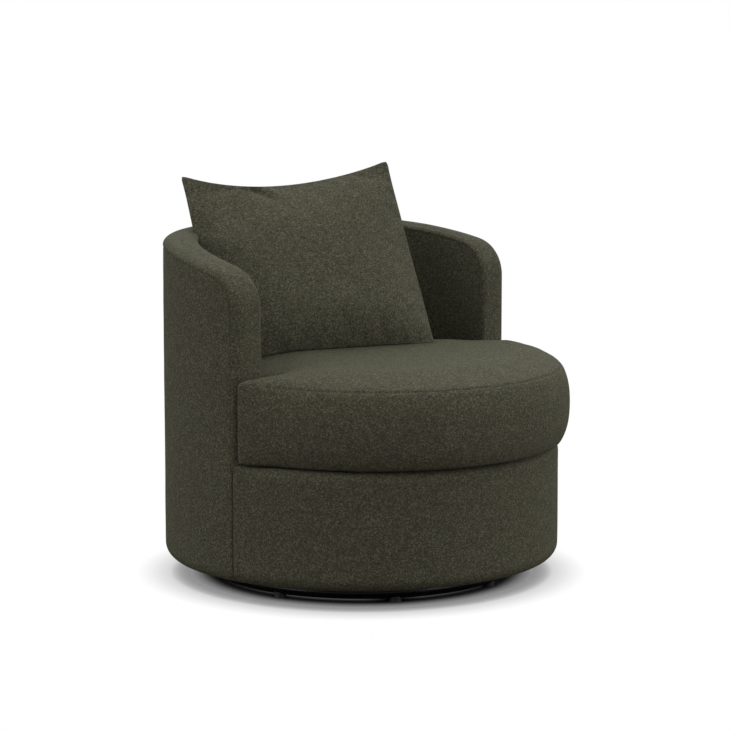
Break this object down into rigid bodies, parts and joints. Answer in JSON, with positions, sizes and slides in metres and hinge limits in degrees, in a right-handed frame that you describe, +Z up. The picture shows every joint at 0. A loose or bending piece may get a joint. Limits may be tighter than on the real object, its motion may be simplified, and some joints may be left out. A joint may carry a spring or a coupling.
{
  "type": "swivel accent chair",
  "caption": "Barrel-shaped upholstered tub chair with a deep loose seat cushion and a throw pillow, turning on a ball-raced swivel over a low ring base.",
  "frame": {"origin": "where the swivel axis meets the floor", "axes": "+Z up along the swivel axis, -Y towards the front of the chair, +X to the sitter's left"},
  "size_m": [0.8, 0.831, 0.8133],
  "materials": {
    "olive_boucle": "dark olive looped tweed with fine lighter flecks",
    "black_steel": "satin black powder coat",
    "zinc_steel": "zinc-plated pressed steel",
    "bearing_steel": "polished",
    "nylon": "moulded black",
    "plywood": "raw birch plywood",
    "hardboard": "raw hardboard",
    "foam": "open-cell foam",
    "webbing": "woven elastic webbing",
    "felt": "needled felt",
    "black_cloth": "thin black lining cloth",
    "zip_tape": "woven tape and coil zip"
  },
  "bodies": {
    "base": {"base_ring": "black_steel", "cross_arm_long": "black_steel", "cross_arm_halves": "black_steel", "floor_glides": "nylon", "lower_swivel_plate": "zinc_steel", "lower_plate_bolts": "zinc_steel", "lower_plate_nuts": "zinc_steel", "king_bolt": "zinc_steel", "king_washer": "zinc_steel", "king_nut": "zinc_steel"},
    "ball_ring": {"bearing_balls": "bearing_steel", "ball_cage": "nylon"},
    "chair": {"upper_swivel_plate": "zinc_steel", "upper_plate_bolts": "zinc_steel", "tee_nuts": "zinc_steel", "bottom_board": "plywood", "base_posts": "plywood", "deck_ring": "plywood", "top_rail": "plywood", "arm_front_frame_left": "plywood", "arm_front_frame_right": "plywood", "tub_uprights": "plywood", "swivel_spacer": "plywood", "front_drum_panel": "hardboard", "outer_tub_panel": "hardboard", "inner_tub_panel": "hardboard", "seat_webbing": "webbing", "deck_felt": "felt", "deck_cloth": "black_cloth", "dust_cloth": "black_cloth", "front_drum_foam": "foam", "outer_tub_foam": "foam", "inner_tub_foam": "foam", "rim_pad": "foam", "outer_tub_cover": "olive_boucle", "front_drum_cover": "olive_boucle", "rim_band": "olive_boucle", "inside_tub_cover": "olive_boucle"},
    "seat_cushion": {"seat_cushion_cover": "olive_boucle", "seat_cushion_core": "foam", "seat_cushion_zip": "zip_tape"},
    "pillow": {"pillow_cover": "olive_boucle", "pillow_insert": "foam"}
  },
  "joints": [
    {"name": "swivel", "type": "hinge", "parent": "base", "child": "chair", "pos_m": [0, 0, 0.032], "axis": [0, 0, 1], "continuous": true},
    {"name": "ball_ring_turn", "type": "hinge", "parent": "base", "child": "ball_ring", "pos_m": [0, 0, 0.032], "axis": [0, 0, 1], "continuous": true},
    {"name": "seat_cushion_lift", "type": "slide", "parent": "chair", "child": "seat_cushion", "axis": [0, 0, 1], "range_m": [0, 0.25]},
    {"name": "pillow_lift", "type": "slide", "parent": "seat_cushion", "child": "pillow", "axis": [0, 0, 1], "range_m": [0, 0.3]}
  ],
  "couplings": [
    {"joint": "ball_ring_turn", "follows": "swivel", "ratio": 0.5}
  ]
}
